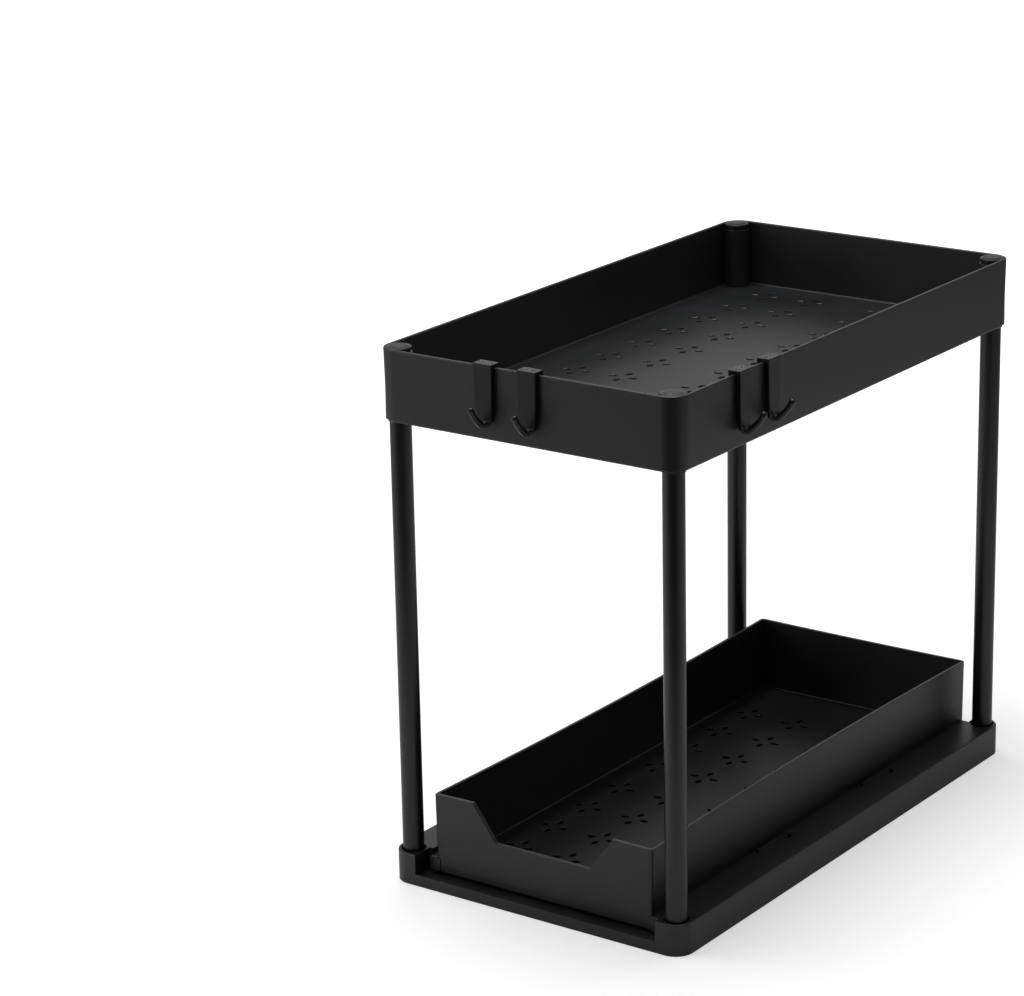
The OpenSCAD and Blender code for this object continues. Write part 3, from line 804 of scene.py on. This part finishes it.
def hookPath(h):
    # centre of the strap and finger: outward distance, height, heading, half width, half thickness
    rows = []
    half = h["strapT"] / 2
    shape = [(1.95, 6.4), (-5, 6.35), (-12, 6.25), (-17, 6.1), (-21, 5.95), (-25, 5.7), (-28, 5.35), (-29.8, 5.05)]
    for z, wide in shape:
        rows.append((h["strapU"], z, -90, wide, half))
    turn = 90 + h["bendTo"]
    steps = 12
    for k in range(steps + 1):
        a = -90 + turn * k / steps
        u = h["strapU"] + h["bendR"] * (1 + math.sin(math.radians(a)))
        z = h["bendZ"] - h["bendR"] * math.cos(math.radians(a))
        t = k / steps
        wide = h["rootR"] + (4.85 - h["rootR"]) * (1 - t ** 1.7)
        rows.append((u, z, a, wide, half + (h["rootR"] - half) * t))
    u0, z0 = rows[-1][0], rows[-1][1]
    du, dz = h["tipU"] - u0, h["tipZ"] - z0
    bend = 2 * (math.degrees(math.atan2(dz, du)) - h["bendTo"])
    radius = math.hypot(du, dz) / (2 * math.sin(math.radians(bend / 2)))
    steps = 14
    for k in range(1, steps + 1):
        a = h["bendTo"] + bend * k / steps
        u = u0 + radius * (math.sin(math.radians(a)) - math.sin(math.radians(h["bendTo"])))
        z = z0 + radius * (math.cos(math.radians(h["bendTo"])) - math.cos(math.radians(a)))
        t = k / steps
        r = h["rootR"] + (h["fingerR"] - h["rootR"]) * min(1, t / 0.5)
        r += (h["tipR"] - h["fingerR"]) * max(0, (t - 0.8) / 0.2)
        rows.append((u, z, a, r, r))
    # round end
    u, z, a, r, _ = rows[-1]
    for k in range(1, 6):
        b = math.radians(90 * k / 6)
        reach = r * math.sin(b)
        rows.append((u + reach * math.cos(math.radians(a)), z + reach * math.sin(math.radians(a)), a,
                     r * math.cos(b), r * math.cos(b)))
    return rows


def makeHook(h):
    verts, faces = [], []
    around = 32
    rows = hookPath(h)
    for u, z, heading, wide, thick in rows:
        a = math.radians(heading)
        nu, nz = -math.sin(a), math.cos(a)
        corner = min(thick, max(0.55, 1.6 * thick - 0.35 * wide))
        for k in range(around):
            t = 2 * math.pi * (k + 0.5) / around
            c, s = math.cos(t), math.sin(t)
            x = math.copysign(wide - corner, c) + corner * c
            n = math.copysign(thick - corner, s) + corner * s
            if s > 0 and heading < -80:
                n += h["crown"] * (1 - (x / wide) ** 2) - h["crown"]
            verts.append((x, -(u + n * nu), z + n * nz))
    for r in range(len(rows) - 1):
        for i in range(around):
            j = (i + 1) % around
            faces.append((r * around + i, r * around + j, (r + 1) * around + j, (r + 1) * around + i))
    faces.append(tuple(range(around)))
    last = (len(rows) - 1) * around
    faces.append(tuple(range(last, last + around)))
    strap = recalc(objectFrom("hook", verts, faces))

    # clip over the rim: bridge and inner lip, one profile extruded across
    lipY = h["rimWall"] + h["gap"]
    topZ = h["gap"] + h["bridgeT"]
    out = -(h["gap"] + h["strapT"]) + 0.02
    clip = prism([(out, h["gap"]), (lipY, h["gap"]), (lipY, -h["lipLength"]),
                  (lipY + h["lipT"] * 0.75, -h["lipLength"]), (lipY + h["lipT"], -h["lipLength"] + 1),
                  (lipY + h["lipT"], topZ), (out, topZ)],
                 -h["width"] / 2 - 0.02, h["width"] / 2 + 0.02, lambda u, v, w: (w, u, v))
    bevelWhere(clip, lambda p, q: True, h["edgeR"], 3, 40)
    combine(strap, [clip], "UNION")
    # two shallow round ejector marks on the bridge, which catch the top light
    ballR = (h["dimpleR"] ** 2 + h["dimpleDepth"] ** 2) / (2 * h["dimpleDepth"])
    ballZ = topZ - h["dimpleDepth"] + ballR
    half = [(ballR * math.cos(math.radians(a)), ballZ + ballR * math.sin(math.radians(a)))
            for a in range(-85, 1, 5)]
    balls = [lathe([(0, ballZ - ballR)] + half + [(0, ballZ)],
                   (side * h["dimpleX"], (lipY + h["lipT"] + out) / 2), 36) for side in (-1, 1)]
    return combine(strap, balls, "DIFFERENCE")


def hangHook(name, node, body, onSide, place):
    obj = makeHook(hook)
    if onSide:
        turn = Matrix.Translation((topTray["halfX"] * mm, place * mm, topTray["rimZ"] * mm)) \
            @ Matrix.Rotation(math.pi / 2, 4, "Z")
    else:
        turn = Matrix.Translation((place * mm, -topTray["halfY"] * mm, topTray["rimZ"] * mm))
    obj.data.transform(turn)
    return finishPiece(obj, name, hookBlack, [node], body)


hangHook("hookFrontLeft", "hook_front_left", "hook_front_left_body", False, -25.6)
hangHook("hookFrontRight", "hook_front_right", "hook_front_right_body", False, 5.0)
hangHook("hookSideFront", "hook_side_front", "hook_side_front_body", True, -129.0)
hangHook("hookSideBack", "hook_side_back", "hook_side_back_body", True, -98.4)
print("hooks ready")


# ---- floor, light and camera

studio = {
    # the last colour is a painted dark patch, seen only by reflections and bounced light
    "paperDark": "#e8e8e8", "paperLight": "#eeeeee", "paperGlow": 0.42, "paintedShadeFloor": "#484848",
    "backLight": 1.06, "leftLight": 0.48, "rightLight": 0.36, "upLight": 0.33,
    "topPower": 15.5, "topSize": 0.8,
    "leftPower": 5.5, "leftSize": 1.0,
}

floorMesh = bpy.data.meshes.new("studioFloor")
floorMesh.from_pydata([(-6, -6, 0), (6, -6, 0), (6, 6, 0), (-6, 6, 0)], [], [(0, 1, 2, 3)])
studioFloor = bpy.data.objects.new("studioFloor", floorMesh)
scene.collection.objects.link(studioFloor)
# for all but camera rays this material holds painted light and painted shade
paper = bpy.data.materials.new("paperSweepWithPaintedShade")
paper.use_nodes = True
tree = paper.node_tree
shader = tree.nodes["Principled BSDF"]
shader.inputs["Roughness"].default_value = 0.9
shader.inputs["Specular IOR Level"].default_value = 0.1
grain = addNode(tree, "ShaderNodeTexNoise", Scale=300.0, Detail=2.0,
                links={"Vector": addNode(tree, "ShaderNodeTexCoord").outputs["Object"]})
tone = addNode(tree, "ShaderNodeValToRGB", links={"Fac": grain.outputs["Fac"]})
tone.color_ramp.elements[0].color = srgb(studio["paperDark"])
tone.color_ramp.elements[1].color = srgb(studio["paperLight"])
tree.links.new(tone.outputs[0], shader.inputs["Base Color"])
# farther out the sheet rises to plain white, so only the shadow round the base shows
place = addNode(tree, "ShaderNodeTexCoord").outputs["Object"]
reach = addNode(tree, "ShaderNodeVectorMath", {"operation": "LENGTH"}, {0: place})
rise = addNode(tree, "ShaderNodeMapRange", {"interpolation_type": "SMOOTHSTEP"}, {"Value": reach.outputs["Value"]},
               From_Min=0.4, From_Max=1.6, To_Min=studio["paperGlow"], To_Max=1.0)
glow = addNode(tree, "ShaderNodeEmission", Color=(1, 1, 1, 1), links={"Strength": rise.outputs[0]})
added = addNode(tree, "ShaderNodeAddShader")
tree.links.new(shader.outputs[0], added.inputs[0])
tree.links.new(glow.outputs[0], added.inputs[1])
# what the gloss mirrors is painted light and shade on the sheet: a painted pool of light that fades outwards,
# and a painted dark patch in front, which gives upright posts and corners their dark middle; the camera sees only
# the pale sheet
paintedPoolFade = addNode(tree, "ShaderNodeMapRange", {}, {"Value": reach.outputs["Value"]},
               From_Min=0.45, From_Max=1.7, To_Min=1.0, To_Max=0.45)
# mask of the painted dark patch on the camera's side of the floor
edges = []
for direction, start, end in (((0.589, -0.808, 0), 0.35, 0.8), ((-0.808, -0.589, 0), -0.6, -0.2)):
    along = addNode(tree, "ShaderNodeVectorMath", {"operation": "DOT_PRODUCT"}, {0: place})
    along.inputs[1].default_value = direction
    edges.append(addNode(tree, "ShaderNodeMapRange", {"interpolation_type": "SMOOTHSTEP"},
                         {"Value": along.outputs["Value"]}, From_Min=start, From_Max=end).outputs[0])
paintedShadeMask = addNode(tree, "ShaderNodeMath", {"operation": "MULTIPLY"}, {0: edges[0], 1: edges[1]})
# painted pool of light: the sheet's grain darkened outwards from the middle
paintedLightPool = addNode(tree, "ShaderNodeMix", {"data_type": "RGBA", "blend_type": "MULTIPLY"}, Factor=1.0)
tree.links.new(tone.outputs[0], paintedLightPool.inputs[6])
tree.links.new(paintedPoolFade.outputs[0], paintedLightPool.inputs[7])
# painted shade: the masked patch takes the dark colour
paintedLightAndShade = addNode(tree, "ShaderNodeMix", {"data_type": "RGBA"}, {"Factor": paintedShadeMask.outputs[0]})
tree.links.new(paintedLightPool.outputs[2], paintedLightAndShade.inputs[6])
paintedLightAndShade.inputs[7].default_value = srgb(studio["paintedShadeFloor"])
# this painted light and shade is what reflections and bounced light see
paintedFloorShader = addNode(tree, "ShaderNodeBsdfDiffuse", links={"Color": paintedLightAndShade.outputs[2]})
seen = addNode(tree, "ShaderNodeLightPath")
pick = addNode(tree, "ShaderNodeMixShader", links={"Fac": seen.outputs["Is Camera Ray"]})
tree.links.new(paintedFloorShader.outputs[0], pick.inputs[1])
tree.links.new(added.outputs[0], pick.inputs[2])
tree.links.new(pick.outputs[0], tree.nodes["Material Output"].inputs["Surface"])
floorMesh.materials.append(paper)

# the room is white behind the organizer, soft grey at both sides and overhead, and unlit
# behind the camera, which gives upright black faces their dark middle
world = bpy.data.worlds.new("whiteStudio")
scene.world = world
world.use_nodes = True
tree = world.node_tree
towards = addNode(tree, "ShaderNodeTexCoord").outputs["Generated"]
behind, right = Vector((-0.5886, 0.8084, 0)), Vector((0.8084, 0.5886, 0))
total = None
for direction, spread, strength in ((behind, 8, studio["backLight"]), (-right, 2, studio["leftLight"]),
                                    (right, 2, studio["rightLight"]), (Vector((0, 0, 1)), 2, studio["upLight"])):
    facing = addNode(tree, "ShaderNodeVectorMath", {"operation": "DOT_PRODUCT"})
    tree.links.new(towards, facing.inputs[0])
    facing.inputs[1].default_value = direction
    ahead = addNode(tree, "ShaderNodeMath", {"operation": "MAXIMUM"}, {0: facing.outputs["Value"]})
    ahead.inputs[1].default_value = 0
    patch = addNode(tree, "ShaderNodeMath", {"operation": "POWER"}, {0: ahead.outputs[0]})
    patch.inputs[1].default_value = spread
    part = addNode(tree, "ShaderNodeMath", {"operation": "MULTIPLY_ADD"}, {0: patch.outputs[0]})
    part.inputs[1].default_value = strength
    part.inputs[2].default_value = 0
    if total:
        tree.links.new(total, part.inputs[2])
    total = part.outputs[0]
soft = tree.nodes["Background"]
soft.inputs["Color"].default_value = (1, 1, 1, 1)
tree.links.new(total, soft.inputs["Strength"])
white = addNode(tree, "ShaderNodeBackground", Color=(1, 1, 1, 1), Strength=1.0)
seen = addNode(tree, "ShaderNodeLightPath")
clear = addNode(tree, "ShaderNodeMath", {"operation": "MAXIMUM"},
                {0: seen.outputs["Is Camera Ray"], 1: seen.outputs["Is Transmission Ray"]})
pick = addNode(tree, "ShaderNodeMixShader", links={"Fac": clear.outputs[0]})
tree.links.new(soft.outputs[0], pick.inputs[1])
tree.links.new(white.outputs[0], pick.inputs[2])
tree.links.new(pick.outputs[0], tree.nodes["World Output"].inputs["Surface"])


def softbox(name, power, size, place, aim):
    light = bpy.data.lights.new(name, "AREA")
    light.energy = power
    light.shape = "SQUARE"
    light.size = size
    obj = bpy.data.objects.new(name, light)
    scene.collection.objects.link(obj)
    obj.location = place
    obj.rotation_euler = (Vector(aim) - Vector(place)).to_track_quat("-Z", "Y").to_euler()
    return obj


softbox("topSoftbox", studio["topPower"], studio["topSize"], (-0.12, 0.0, 1.5), (0, 0, 0.1))
softbox("leftSoftbox", studio["leftPower"], studio["leftSize"], (-1.2, -1.1, 0.6), (0, 0, 0.12))

# the camera stands to the right and above, about 2.2 m away, with a long lens
cameraSet = {
    "place": (1.08914, -1.70195, 0.84864),
    "ahead": (-0.561481, 0.770848, -0.300887),
    "upward": (-0.160064, 0.255572, 0.953448),
    "lens": 120.16,
}
lens = bpy.data.cameras.new("photoCamera")
lens.lens = cameraSet["lens"]
lens.sensor_width = 36.0
lens.clip_end = 50
camera = bpy.data.objects.new("photoCamera", lens)
scene.collection.objects.link(camera)
back = -Vector(cameraSet["ahead"])
upward = Vector(cameraSet["upward"])
turn = Matrix((upward.cross(back), upward, back)).transposed().to_4x4()
camera.matrix_world = Matrix.Translation(cameraSet["place"]) @ turn
scene.camera = camera
scene.view_settings.view_transform = "Standard"
print("studio ready")
